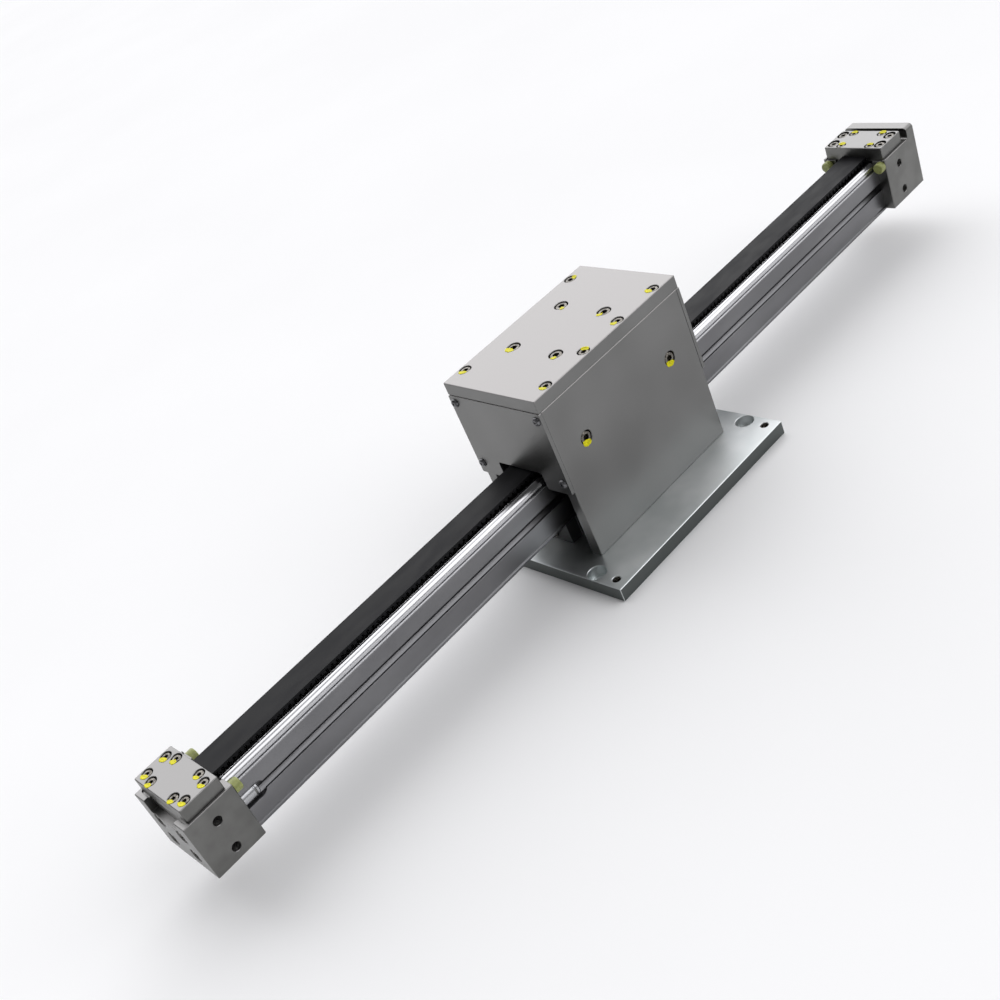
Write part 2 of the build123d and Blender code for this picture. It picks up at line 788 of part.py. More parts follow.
def bumpers(end):
    """The rubber stops on the inner face of a block, with their studs."""
    stops = []
    for side in (-1, 1):
        place = (end.inner, side * bumper_reach, bumper_level)
        stop = rod(bumper_radius, bumper_length, place, (-end.sign, 0, 0))
        stop = fillet(stop.edges().sort_by(Axis.X)[0 if end.sign > 0 else -1], bumper_radius / 4)
        stops.append(stop + rod(bumper_stud_radius, bumper_stud_length, place, (end.sign, 0, 0)))
    return stops


# Belt: the loop's pitch line leaves the near idler's bottom, climbs over the pulley and comes down
centre_distance = hypot(idler_reach, drive_rise)
reach_angle = degrees(acos((idler_pitch_radius + pulley_pitch_radius) / centre_distance))
leave_angle = degrees(atan2(drive_rise, idler_reach)) - reach_angle
idler_wrap = 90 + leave_angle
pulley_wrap = 2 * idler_wrap
straight_length = centre_distance * sin(radians(reach_angle))
idler_arc = idler_pitch_radius * radians(idler_wrap)
pulley_arc = pulley_pitch_radius * radians(pulley_wrap)
loop_length = 2 * (idler_arc + straight_length) + pulley_arc
first_tooth = (loop_length / 2) % belt_pitch


def polar(centre, radius, angle):
    """The point at an angle in degrees round a centre."""
    return (centre[0] + radius * cos(radians(angle)), centre[1] + radius * sin(radians(angle)))


near_idler_centre = (-idler_reach, idler_level)
far_idler_centre = (idler_reach, idler_level)
pulley_centre = (0, drive_level)


def loop_place(travel):
    """The point of the pitch line after some travel, and its heading in degrees."""
    if travel > loop_length / 2:
        point, heading = loop_place(loop_length - travel)
        return (-point[0], point[1]), -heading
    if travel < idler_arc:
        turn = degrees(travel / idler_pitch_radius)
        return polar(near_idler_centre, idler_pitch_radius, turn - 90), turn
    if travel < idler_arc + straight_length:
        start = polar(near_idler_centre, idler_pitch_radius, leave_angle)
        return polar(start, travel - idler_arc, idler_wrap), idler_wrap
    turn = degrees((travel - idler_arc - straight_length) / pulley_pitch_radius)
    angle = 180 + leave_angle - turn
    return polar(pulley_centre, pulley_pitch_radius, angle), angle - 90


def loop_line(offset):
    """The loop's edges at an offset from the pitch line, towards the belt's back."""
    idler = idler_pitch_radius - offset
    pulley = pulley_pitch_radius + offset
    near_leave = polar(near_idler_centre, idler, leave_angle)
    far_leave = polar(far_idler_centre, idler, 180 - leave_angle)
    pulley_in = polar(pulley_centre, pulley, 180 + leave_angle)
    pulley_out = polar(pulley_centre, pulley, -leave_angle)
    return [CenterArc(near_idler_centre, idler, -90, idler_wrap),
            Line(near_leave, pulley_in),
            CenterArc(pulley_centre, pulley, -leave_angle, pulley_wrap),
            Line(pulley_out, far_leave),
            CenterArc(far_idler_centre, idler, 180 - leave_angle, idler_wrap)]


def belt_loop():
    """The belt round the idlers and the pulley, teeth on the pulley's side."""
    back = belt_cord_depth
    root = belt_cord_depth - belt_body
    low = root - belt_tooth
    caps = [Line((end * idler_reach, belt_top), (end * idler_reach, belt_root)) for end in (-1, 1)]
    face = make_face(loop_line(back) + loop_line(root) + caps)
    overlap = belt_body / 4
    travel = first_tooth
    while travel < loop_length:
        (x, z), heading = loop_place(travel)
        tooth = make_face(Polyline((-tooth_root / 2, root + overlap), (tooth_root / 2, root + overlap),
                                   (tooth_root / 2, root), (tooth_tip / 2, low), (-tooth_tip / 2, low),
                                   (-tooth_root / 2, root), close=True))
        face += Pos(x, z) * Rot(0, 0, heading) * tooth
        travel += belt_pitch
    return crosswise(face, belt_width / 2)


def run_teeth(sign, low, high):
    """The tooth centres of a straight run between two X values, in step with the loop."""
    places = []
    reach = idler_reach + belt_pitch - first_tooth
    while reach < abs(profile_start) + profile_length:
        if low < sign * reach < high:
            places.append(sign * reach)
        reach += belt_pitch
    return sorted(places)


def belt_run(end):
    """The straight belt from an idler to its clamp."""
    reach = sorted((end.sign * (idler_reach + running_gap), end.clamp_end - end.sign * belt_end_inset))
    points = [(reach[0], belt_root), (reach[0], belt_top), (reach[1], belt_top), (reach[1], belt_root)]
    for x in reversed(run_teeth(end.sign, reach[0] + tooth_root / 2, reach[1] - tooth_root / 2)):
        points += [(x + tooth_root / 2, belt_root), (x + tooth_tip / 2, belt_low),
                   (x - tooth_tip / 2, belt_low), (x - tooth_root / 2, belt_root)]
    return crosswise(make_face(Polyline(*points, close=True)), belt_width / 2)


# Idlers
bearing_edge = idler_width / 2 - fit_gap * 10
bearing_inner_edge = bearing_edge - idler_bearing_width


def idler_parts():
    """The axles, spacers and inner rings that stand still."""
    axles, spacers, rings = [], [], []
    for end in (-1, 1):
        x = end * idler_reach
        axle = rod(axle_radius, 2 * side_inner, (x, -side_inner, idler_level), (0, 1, 0))
        spacers.append(sleeve(axle_radius + spacer_wall, axle_radius + fit_gap,
                              -bearing_inner_edge, bearing_inner_edge, x, idler_level))
        for side in (-1, 1):
            axle -= thread_hole(axle_screw_thread, frame_thread_grip + thread_spare,
                                (x, side * side_inner, idler_level), (0, -side, 0))
            spacers.append(sleeve(axle_radius + spacer_wall, axle_radius + fit_gap,
                                  side * bearing_edge, side * side_inner, x, idler_level))
            rings.append(sleeve(idler_bearing_split - running_gap / 2, axle_radius + fit_gap,
                                side * bearing_inner_edge, side * bearing_edge, x, idler_level))
        axles.append(axle)
    save("idler_axles", *axles)
    save("idler_spacers", *spacers)
    save("idler_bearing_inner_rings", *rings)


def idler_roller(end):
    """The smooth roller that the belt's back runs on."""
    x = end * idler_reach
    half = idler_width / 2
    roller = sleeve(idler_radius - running_gap, idler_bearing_outer + fit_gap, -half, half, x, idler_level)
    return chamfer(roller.edges().filter_by(GeomType.CIRCLE).group_by(SortBy.RADIUS)[-1], edge_break)


def idler_bearings(end):
    """The outer rings that turn with the roller."""
    return [sleeve(idler_bearing_outer, idler_bearing_split + running_gap / 2, side * bearing_inner_edge,
                   side * bearing_edge, end * idler_reach, idler_level) for side in (-1, 1)]


# Drive
def drive_pulley():
    """The toothed pulley, with a keyway."""
    face = Circle(pulley_land_radius)
    step = 360 / pulley_teeth
    for number in range(pulley_teeth):
        groove = make_face(Polyline(
            (pulley_floor_radius, -tooth_tip / 2 - running_gap), (pulley_floor_radius, tooth_tip / 2 + running_gap),
            (pulley_back_radius, tooth_root / 2 + running_gap), (pulley_back_radius, -tooth_root / 2 - running_gap),
            close=True))
        face -= Rot(0, 0, 90 + number * step) * groove
    face -= Circle(shaft_shoulder + fit_gap)
    keyway_top = shaft_shoulder + key_height / 2 + fit_gap
    face -= area(-key_width / 2 - fit_gap, key_width / 2 + fit_gap, 0, keyway_top)
    return crosswise(Pos(0, drive_level) * face, pulley_width / 2)


def pulley_flanges():
    """The two flanges that keep the belt on the pulley."""
    outer = pulley_land_radius + flange_rise
    return [sleeve(outer, shaft_shoulder + fit_gap, side * pulley_width / 2, side * pulley_side, 0, drive_level)
            for side in (-1, 1)]


def shaft_spacers():
    """The rings between the flanges and the bearings."""
    outer = drive_bearing_split - 2 * fit_gap - running_gap
    return [sleeve(outer, shaft_shoulder + fit_gap, side * pulley_side, side * bracket_inner, 0, drive_level)
            for side in (-1, 1)]


bearing_out = bracket_inner + drive_bearing_width
ring_out = bearing_out + ring_thick


def drive_shaft():
    """The hollow shaft: bearing seats, a shoulder for the pulley and a slit end for the clamp ring."""
    centre = (0, -ring_out - 2 * ring_thick, drive_level)
    length = shaft_end + ring_out + 2 * ring_thick
    solid = rod(shaft_radius, length, centre, (0, 1, 0))
    solid += rod(shaft_shoulder, 2 * bracket_inner, (0, -bracket_inner, drive_level), (0, 1, 0))
    solid -= rod(shaft_bore, shaft_bore_depth, (0, shaft_end, drive_level), (0, -1, 0))
    solid -= block(-key_width / 2 - fit_gap, key_width / 2 + fit_gap, -key_length / 2 - fit_gap,
                   key_length / 2 + fit_gap, drive_level + shaft_shoulder - key_height / 2 - fit_gap,
                   drive_level + shaft_shoulder + 1)
    solid -= sleeve(shaft_radius + 1, shaft_radius - ring_groove, -bearing_out, -ring_out, 0, drive_level)
    slit_start = shaft_end - shaft_slit_depth
    solid -= block(-shaft_radius, shaft_radius, slit_start, shaft_end,
                   drive_level - shaft_slit / 2, drive_level + shaft_slit / 2)
    solid -= block(-shaft_slit / 2, shaft_slit / 2, slit_start, shaft_end,
                   drive_level - shaft_radius, drive_level + shaft_radius)
    return solid


def pulley_key():
    """The key between the shaft and the pulley."""
    level = drive_level + shaft_shoulder
    return block(-key_width / 2, key_width / 2, -key_length / 2, key_length / 2,
                 level - key_height / 2, level + key_height / 2)


def bearing_rings(outer, inner):
    """One ring of each drive bearing."""
    return [sleeve(outer, inner, side * bracket_inner, side * bearing_out, 0, drive_level) for side in (-1, 1)]


def clamp_ring():
    """The split ring that grips the slit end of the shaft."""
    start = clamp_ring_start
    solid = sleeve(clamp_ring_radius, shaft_radius + fit_gap, start, start + clamp_ring_width, 0, drive_level)
    solid -= block(-clamp_ring_slit / 2, clamp_ring_slit / 2, start, shaft_end,
                   drive_level, drive_level + clamp_ring_radius)
    centre = (-clamp_ring_radius, start + clamp_ring_width / 2, drive_level + clamp_ring_screw_rise)
    solid -= rod(small_thread / 2 + fit_gap, 2 * clamp_ring_radius, centre, (1, 0, 0))
    head_start = (clamp_ring_radius / 3, centre[1], centre[2])
    solid -= rod(head_radius(small_thread) + fit_gap, clamp_ring_radius, head_start, (1, 0, 0))
    return solid


def clamp_ring_screw():
    """The screw that closes the clamp ring."""
    middle = clamp_ring_start + clamp_ring_width / 2
    place = (clamp_ring_radius / 3, middle, drive_level + clamp_ring_screw_rise)
    return at(socket_screw(small_thread, clamp_ring_radius * 0.9), place, (1, 0, 0))


def shaft_ring():
    """The retaining ring at the front end of the shaft."""
    return sleeve(ring_radius, shaft_radius - ring_groove + fit_gap, -bearing_out, -ring_out, 0, drive_level)


def main():
    """Write every node."""
    os.makedirs("parts", exist_ok=True)
    save("base_plate", base_plate())
    save("side_plate_front", side_plate(-1))
    save("side_plate_rear", side_plate(1))
    save("top_plate", top_plate())
    save("cover_near", cover(-1))
    save("cover_far", cover(1))
    save("bracket_front", bracket(-1))
    save("bracket_rear", bracket(1))
    carriage_screws()
    save("guide_block_near", guide_block(-1))
    save("guide_block_far", guide_block(1))
    save("guide_block_caps", *guide_caps())
    save("grease_nipples", *grease_nipples())
    save("guide_rail", guide_rail())
    save("rail_screws", *[at(socket_screw(small_thread, rail_screw_length), (x, 0, rail_screw_seat), down)
                          for x in rail_screw_places])
    save("profile", profile())
    for name, end in (("near", near), ("far", far)):
        save(f"end_block_{name}", end_block(end))
        save(f"clamp_plate_{name}", clamp_plate(end))
        save(f"clamp_jaw_{name}", clamp_jaw(end))
        clamp_screws(end, name)
        save(f"end_screws_{name}", *end_screws(end))
        save(f"bumpers_{name}", *bumpers(end))
        save(f"belt_run_{name}", belt_run(end))
        save(f"idler_roller_{name}", idler_roller(end.sign))
        save(f"idler_bearings_{name}", *idler_bearings(end.sign))
    save("tension_screws", *tension_screws())
    save("belt_loop", belt_loop())
    idler_parts()
    save("drive_pulley", drive_pulley())
    save("pulley_flanges", *pulley_flanges())
    save("shaft_spacers", *shaft_spacers())
    save("pulley_key", pulley_key())
    save("drive_shaft", drive_shaft())
    save("drive_bearing_outer_rings", *bearing_rings(drive_bearing_outer, drive_bearing_split + running_gap / 2))
    save("drive_bearing_inner_rings", *bearing_rings(drive_bearing_split - running_gap / 2,
                                                     shaft_radius + fit_gap))
    save("clamp_ring", clamp_ring())
    save("clamp_ring_screw", clamp_ring_screw())
    save("shaft_ring", shaft_ring())


main()
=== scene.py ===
import math
import random

import bmesh
import bpy
from mathutils import Euler, Matrix, Vector


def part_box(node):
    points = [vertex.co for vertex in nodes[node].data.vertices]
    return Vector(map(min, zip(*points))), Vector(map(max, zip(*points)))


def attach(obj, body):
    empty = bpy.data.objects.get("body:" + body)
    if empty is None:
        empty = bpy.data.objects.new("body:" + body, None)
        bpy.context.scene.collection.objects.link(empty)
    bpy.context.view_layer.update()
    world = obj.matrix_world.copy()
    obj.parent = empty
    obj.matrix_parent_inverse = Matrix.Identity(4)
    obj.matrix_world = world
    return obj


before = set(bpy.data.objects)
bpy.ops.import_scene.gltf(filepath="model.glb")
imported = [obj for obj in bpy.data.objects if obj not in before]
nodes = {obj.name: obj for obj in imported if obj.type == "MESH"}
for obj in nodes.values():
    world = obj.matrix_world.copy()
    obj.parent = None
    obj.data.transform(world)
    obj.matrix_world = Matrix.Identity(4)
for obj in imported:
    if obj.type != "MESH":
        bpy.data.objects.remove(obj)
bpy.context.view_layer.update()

# Everything is in metres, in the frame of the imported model. X runs along the profile.
mm = 0.001
carriage, profile_set = "carriage", "profile_set"
up, front, back = (0, 0, 1), (0, -1, 0), (0, 1, 0)

# Places on the CAD nodes that the finishes and the added pieces share
plate_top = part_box("top_plate")[1].z
plate_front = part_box("side_plate_front")[0].y
clamp_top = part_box("clamp_plate_near")[1].z
base_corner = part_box("base_plate")[1]
# The profile's sides end at the first of these levels, and its beads have begun at the second
sides_end, beads_begin = 76 * mm, 77.5 * mm


# Node and material helpers
def linear(hex_colour):
    """An sRGB hex colour as linear RGBA."""
    parts = [int(hex_colour[i:i + 2], 16) / 255 for i in (1, 3, 5)]
    return tuple(c / 12.92 if c <= 0.04045 else ((c + 0.055) / 1.055) ** 2.4 for c in parts) + (1.0,)


def add(tree, kind, values=None, links=None, **properties):
    """Add a node: properties on the node, values and links on its inputs."""
    node = tree.nodes.new("ShaderNode" + kind)
    for name, value in properties.items():
        setattr(node, name, value)
    for name, value in (values or {}).items():
        node.inputs[name].default_value = value
    for name, socket in (links or {}).items():
        tree.links.new(socket, node.inputs[name])
    return node


# Cloud noise seldom leaves this range, so the first tone and gloss lie at its start and the last at its end
cloud_low, cloud_high = 0.35, 0.65
bevel_rays = 6


def finish(name, tones, rough, clouds, marks, depth, edge, **shader_values):
    """A finish: soft clouds vary its tone and gloss, fine marks raise it, and its edges catch the light.

    Clouds and marks are a size in millimetres, how far it is drawn out along X, Y and Z, and its detail.
    Depth is how deep the marks are, and edge the radius of the broken edge, both in millimetres."""
    material = bpy.data.materials.new(name)
    material.use_nodes = True
    tree = material.node_tree
    tree.nodes.clear()
    place = add(tree, "TexCoord").outputs["Object"]
    grains = []
    for size, stretch, detail in (clouds, marks):
        scale = tuple(1 / (size * mm * s) for s in stretch)
        spread = add(tree, "Mapping", {"Scale": scale}, {"Vector": place})
        grain = add(tree, "TexNoise", {"Scale": 1.0, "Detail": detail}, {"Vector": spread.outputs[0]})
        grains.append(grain.outputs["Fac"])
    tone = add(tree, "ValToRGB", links={"Fac": grains[0]})
    for stop, position, colour in zip(tone.color_ramp.elements, (cloud_low, cloud_high), tones):
        stop.position = position
        stop.color = linear(colour)
    gloss_range = {"From Min": cloud_low, "From Max": cloud_high, "To Min": rough[0], "To Max": rough[1]}
    gloss = add(tree, "MapRange", gloss_range, {"Value": grains[0]})
    broken = add(tree, "Bevel", {"Radius": edge * mm}, samples=bevel_rays)
    raised = add(tree, "Bump", {"Strength": 1.0, "Distance": depth * mm},
                 {"Height": grains[1], "Normal": broken.outputs[0]})
    shader = add(tree, "BsdfPrincipled", {name.replace("_", " "): v for name, v in shader_values.items()},
                 {"Base Color": tone.outputs[0], "Roughness": gloss.outputs[0], "Normal": raised.outputs[0]})
    add(tree, "OutputMaterial", links={"Surface": shader.outputs[0]})
    return material


# The mix node has sockets for every kind of value, and these are the first, second and result of each kind
mix_sockets = {"RGBA": (6, 7, 2), "FLOAT": (2, 3, 0)}


def overlay(material, coordinate, axis, low, high, colour, rough):
    """Another tone and gloss: none where the size of a coordinate is low, and all where it is high."""
    tree = material.node_tree
    shader = next(node for node in tree.nodes if node.type == "BSDF_PRINCIPLED")
    parts = add(tree, "SeparateXYZ", links={"Vector": add(tree, "TexCoord").outputs[coordinate]})
    size = add(tree, "Math", {}, {0: parts.outputs[axis]}, operation="ABSOLUTE")
    share = add(tree, "MapRange", {"From Min": low, "From Max": high}, {"Value": size.outputs[0]})
    for name, value, kind in (("Base Color", linear(colour), "RGBA"), ("Roughness", rough, "FLOAT")):
        under = shader.inputs[name].links[0].from_socket
        first, second, result = mix_sockets[kind]
        mixed = add(tree, "Mix", {second: value}, {0: share.outputs[0], first: under}, data_type=kind)
        tree.links.new(mixed.outputs[result], shader.inputs[name])


# How far grain is drawn out along X, Y and Z
even, along_x, along_y, rings = (1, 1, 1), (300, 1, 1), (1, 12, 1), (40, 1, 40)
slight_x, cutter_x, ground_x = (3, 1, 1), (14, 1, 1), (40, 1, 1)
# A face counts as lying flat, and is painted paler as painted light, from where its normal's Z passes these
leaning, flat = 0.5, 0.7


# Metals
def anodised_plate():
    """Milled and clear anodised aluminium plate: matt, and painted paler where it lies flat than where it
    stands, as painted light.

    Blasting grit leaves pits of a tenth of a millimetre, drawn at 0.7 so that they show."""
    made = finish("anodised_plate", ("#737372", "#7e7e7d"), (0.34, 0.42), (60, even, 1), (0.7, even, 3),
                  depth=0.012, edge=0.5, Metallic=1.0)
    # Painted light: faces that lie flat are painted a paler tone than faces that stand
    overlay(made, "Normal", "Z", leaning, flat, "#918f8e", 0.38)
    return made


def milled_block():
    """Milled and anodised aluminium block: faint cutter paths a millimetre apart, and painted paler on top,
    as painted light.
    """
    made = finish("milled_block", ("#6b6b69", "#767674"), (0.32, 0.38), (14, even, 2), (1.0, cutter_x, 3),
                  depth=0.01, edge=0.5, Metallic=1.0)
    # Painted light: faces that lie flat are painted a paler tone than faces that stand
    overlay(made, "Normal", "Z", leaning, flat, "#878685", 0.35)
    return made


def extruded_profile():
    """Extruded and anodised aluminium: long die lines, and polished beads along its top edges."""
    made = finish("extruded_profile", ("#757577", "#838385"), (0.32, 0.37), (30, slight_x, 2),
                  (0.8, along_x, 3), depth=0.006, edge=0.8, Metallic=1.0)
    overlay(made, "Object", "Z", sides_end, beads_begin, "#c6c6c8", 0.2)
    return made


def plated_steel():
    """Ground steel plate with a bluish zinc coat: it mirrors what stands on it, and its outer side faces are
    painted dark and dull, as painted shade.

    The grinding wheel leaves scratches of some hundredths of a millimetre, drawn at 3 so that they show."""
    made = finish("plated_steel", ("#d0d5d5", "#e0e3e3"), (0.4, 0.48), (30, even, 2), (3.0, ground_x, 1),
                  depth=0.006, edge=0.5, Metallic=1.0)
    # Painted shade: the plate's outer side faces, in its last tenth of a millimetre along X and Y, are
    # painted dark grey
    for axis, edge_place in (("X", base_corner.x), ("Y", base_corner.y)):
        overlay(made, "Object", axis, edge_place - 0.1 * mm, edge_place, "#646867", 0.45)
    return made


def bright_steel():
    """Nickel plated screw steel: smooth and a little warm, dark in its socket and bright on its rim.

    Handling clouds it in patches of a millimetre or two."""
    return finish("bright_steel", ("#45423e", "#87837c"), (0.16, 0.3), (1.6, even, 3), (1.6, even, 3),
                  depth=0.05, edge=0.3, Metallic=1.0)


def dark_steel():
    """Blackened screw steel, worn grey in patches of two millimetres on its dome."""
    return finish("dark_steel", ("#565658", "#7c7c7e"), (0.22, 0.36), (2.2, even, 3), (2.2, even, 3),
                  depth=0.02, edge=0.2, Metallic=1.0)


def ground_steel():
    """Hardened and ground steel of rail, shafts and bearings, with fine rings and lines.

    The wheel's marks are some hundredths of a millimetre apart, drawn at 0.6 so that they show."""
    return finish("ground_steel", ("#a8a9ab", "#b9babc"), (0.18, 0.3), (0.6, rings, 3), (0.6, rings, 3),
                  depth=0.003, edge=0.3, Metallic=1.0)


# Rubber, plastic and paint
def belt_rubber():
    """Black neoprene with a ground back: dull, with faint grey dust.

    The back is ground across the belt, and the marks are drawn at 0.8 so that they show."""
    return finish("belt_rubber", ("#0d0d0f", "#151518"), (0.42, 0.55), (9, slight_x, 3), (0.8, along_y, 3),
                  depth=0.02, edge=0.3, Specular_IOR_Level=0.12)


def bumper_rubber():
    """Cast polyurethane in olive green, slightly glossy, uneven over three millimetres."""
    return finish("bumper_rubber", ("#848a4e", "#9ba162"), (0.35, 0.5), (3, even, 3), (3, even, 3),
                  depth=0.03, edge=0.4, IOR=1.5)


def cap_plastic():
    """Moulded black polyamide: spark eroded grain of a tenth of a millimetre, drawn at 0.6 to show."""
    return finish("cap_plastic", ("#1a1b1c", "#232425"), (0.45, 0.6), (0.6, even, 3), (0.6, even, 3),
                  depth=0.02, edge=0.3, IOR=1.53)


def marker_paint():
    """Yellow marking paint on tightened screws: thin at its edges and glossy, streaked over a millimetre."""
    return finish("marker_paint", ("#c2bb00", "#e8e000"), (0.4, 0.55), (1.4, even, 3), (1.4, even, 3),
                  depth=0.05, edge=0.1, IOR=1.4, Specular_IOR_Level=0.3)


finishes = {
    "plate": anodised_plate(), "block": milled_block(), "profile": extruded_profile(),
    "base": plated_steel(), "bright": bright_steel(), "dark": dark_steel(), "ground": ground_steel(),
    "belt": belt_rubber(), "bumper": bumper_rubber(), "cap": cap_plastic(), "paint": marker_paint(),
}
milled_nodes = ("end_block", "clamp_plate", "clamp_jaw", "bracket", "drive_pulley", "pulley_flanges")
plate_nodes = ("side_plate", "top_plate", "cover")
small_steel_nodes = ("grease_nipples", "shaft_ring", "pulley_key")


def finish_of(node):
    """The finish of a CAD node, from its name."""
    if node == "base_plate":
        return "base"
    if node == "profile":
        return "profile"
    if node == "guide_block_caps":
        return "cap"
    if node.startswith("cover_screws"):
        return "dark"
    if "screw" in node or node in small_steel_nodes:
        return "bright"
    if node.startswith("belt"):
        return "belt"
    if node.startswith("bumpers"):
        return "bumper"
    if node.startswith(milled_nodes):
        return "block"
    if node.startswith(plate_nodes):
        return "plate"
    return "ground"


for name, node in nodes.items():
    node.data.materials.clear()
    node.data.materials.append(finishes[finish_of(name)])


# Mesh helpers
def piece(name, mesh, look, body):
    """A shown piece from a bmesh, with its finish, riding on a body."""
    data = bpy.data.meshes.new(name)
    bmesh.ops.recalc_face_normals(mesh, faces=mesh.faces)
    mesh.to_mesh(data)
    mesh.free()
    made = bpy.data.objects.new(name, data)
    bpy.context.scene.collection.objects.link(made)
    data.materials.append(finishes[look])
    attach(made, body)
    return made


def thicken(made, name, thickness):
    """Give an open sheet a thickness, half on each side."""
    thick = made.modifiers.new(name, "SOLIDIFY")
    thick.thickness = thickness
    thick.offset = 0


def add_grid(mesh, rows):
    """Faces between rows of points; each row has as many points as the next."""
    made = [[mesh.verts.new(point) for point in row] for row in rows]
    for first, second in zip(made, made[1:]):
        for i in range(len(first) - 1):
            mesh.faces.new((first[i], first[i + 1], second[i + 1], second[i]))


def face_frame(place, out):
    """A matrix whose Z axis points out of a face, with X as near the row's X as it can be."""
    z = Vector(out).normalized()
    along_row = abs(z.x) < 0.9
    x = Vector((1, 0, 0)) if along_row else Vector((0, 1, 0))
    y = z.cross(x).normalized()
    x = y.cross(z)
    turn = Matrix((x, y, z)).transposed().to_4x4()
    return Matrix.Translation(place) @ turn


# Paint marks: each runs from a screw head over its counterbore onto the plate
mark_angle_steps, mark_radius_steps = 12, 10
mark_half_angle = math.radians(52)
mark_reach = (1.35, 1.6)
mark_middle, mark_rim = 0.9, 0.98
mark_ragged, mark_even = (0.82, 1.12), 0.8
counterbore_gap = 0.75 * mm
film_rise, film_edge, film_thickness = 0.12 * mm, 0.4, 0.2 * mm
weld_gap = 0.02 * mm


def add_mark(mesh, place, out, towards, head, recess, spread, seed):
    """One mark of paint; head is the head's radius, recess how deep its top lies and spread how wide it is.

    Reach, middle and rim are shares of the head's radius, and ragged is a share of the mark's half length.
    Even is the share of its width that is free of ragged ends, and the film is lowest at its edge."""
    rng = random.Random(seed)
    to_world = face_frame(place, out)
    half_angle = mark_half_angle * spread
    outer = head * rng.uniform(*mark_reach)
    middle = head * mark_middle
    rim, wall = head * mark_rim, head + counterbore_gap
    edge = [rng.uniform(*mark_ragged) for _ in range(mark_angle_steps + 1)]
    rows = []
    for i in range(mark_radius_steps + 1):
        part = i / mark_radius_steps
        row = []
        for j in range(mark_angle_steps + 1):
            side = 2 * j / mark_angle_steps - 1
            shorten = math.sqrt(max(0.0, 1 - side * side))
            radius = middle + (part - 0.5) * 2 * shorten * edge[j] * (outer - middle)
            angle = towards + side * half_angle * (mark_even + (1 - mark_even) * edge[-1 - j])
            climb = min(1.0, max(0.0, (radius - rim) / (wall - rim)))
            film = film_rise * (film_edge + shorten * math.sin(math.pi * part))
            level = -recess * (1 - climb) + film
            row.append(to_world @ Vector((radius * math.cos(angle), radius * math.sin(angle), level)))
        rows.append(row)
    add_grid(mesh, rows)


def paint_marks(name, body, marks):
    """A node of marks, each given by place, outward axis, direction in degrees, head, recess and spread."""
    mesh = bmesh.new()
    for number, (place, out, towards, head, recess, spread) in enumerate(marks):
        add_mark(mesh, place, out, math.radians(towards), head, recess, spread, name + str(number))
    bmesh.ops.remove_doubles(mesh, verts=mesh.verts, dist=weld_gap)
    made = piece(name, mesh, "paint", body)
    thicken(made, "film", film_thickness)
    for polygon in made.data.polygons:
        polygon.use_smooth = True


def centre_x(node):
    """The middle of a CAD node along X."""
    low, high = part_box(node)
    return (low.x + high.x) / 2


# Radii of the M5, M6 and M4 socket heads, and how deep they sit
small_head, frame_head, tiny_head = 4.25 * mm, 5.0 * mm, 3.5 * mm
plate_recess, clamp_recess = 0.6 * mm, 0.4 * mm
# Screw places: the top plate's corners and front middle, the brackets, the idler axles and the clamps
corner_x, edge_y, middle_x = 63, 44, 20
bracket_x, bracket_y = 28.5, 23
idler_x, idler_z = 51, 105
outer_x, outer_y = 8, 24.5
inner_x, inner_y = 10.8, 14.8

# Each small screw's place on the top plate, which way its paint runs and how wide it is
plate_paint = [
    (-corner_x, -edge_y, 185, 1.0), (-corner_x, edge_y, 190, 1.1),
    (corner_x, -edge_y, 160, 1.0), (corner_x, edge_y, -20, 0.8),
    (-middle_x, -edge_y, 20, 1.1), (middle_x, -edge_y, 175, 0.7),
]
bracket_paint = [
    (-bracket_x, bracket_y, 170, 1.1), (-bracket_x, -bracket_y, 200, 0.6),
    (bracket_x, bracket_y, 230, 0.5), (bracket_x, -bracket_y, 170, 0.5),
]
top_marks = [((x * mm, y * mm, plate_top), up, towards, head, plate_recess, spread)
             for paint, head in ((plate_paint, small_head), (bracket_paint, frame_head))
             for x, y, towards, spread in paint]
paint_marks("paint_marks_top", carriage, top_marks)
side_marks = [((x * mm, plate_front, idler_z * mm), front, -105, frame_head, plate_recess, 1.1)
              for x in (-idler_x, idler_x)]
paint_marks("paint_marks_side", carriage, side_marks)

near_x, far_x = centre_x("clamp_plate_near"), centre_x("clamp_plate_far")
outer_screws = [(x * mm, y * mm) for x in (-outer_x, outer_x) for y in (-outer_y, outer_y)]
inner_screws = [(x * mm, y * mm) for x in (-inner_x, inner_x) for y in (-inner_y, inner_y)]
near_marks = [((near_x + x, y, clamp_top), up, 195, tiny_head, clamp_recess, 1.2) for x, y in outer_screws]
near_marks += [((near_x + x, y, clamp_top), up, 190, tiny_head, clamp_recess, 1.0) for x, y in inner_screws]
paint_marks("paint_marks_near", profile_set, near_marks)
far_marks = [((far_x + x, y, clamp_top), up, 10, tiny_head, clamp_recess, 1.2) for x, y in inner_screws]
paint_marks("paint_marks_far", profile_set, far_marks)

# Threads cut in the tapped holes
thread_steps = 28
thread_height, thread_skin = 0.32 * mm, 0.02 * mm
thread_start = 0.5 * mm


def add_thread(mesh, place, out, radius, depth, pitch):
    """A helical thread lining a hole; place is the mouth's centre and out points out of it."""
    to_world = face_frame(place, out)
    rows = []
    for level in range(int(depth / pitch * 2)):
        reach = radius - (thread_height if level % 2 else thread_skin)
        row = []
        for step in range(thread_steps + 1):
            turn = step / thread_steps
            angle = 2 * math.pi * turn
            z = -thread_start - pitch * (level / 2 + turn)
            row.append(to_world @ Vector((reach * math.cos(angle), reach * math.sin(angle), z)))
        rows.append(row)
    add_grid(mesh, rows)


def threads(name, body, holes, look):
    """A node of threads; each hole is its mouth, its direction, its radius, its depth and its pitch."""
    mesh = bmesh.new()
    for place, out, radius, depth, pitch in holes:
        add_thread(mesh, place, out, radius, depth, pitch)
    made = piece(name, mesh, look, body)
    thicken(made, "wall", thread_skin)


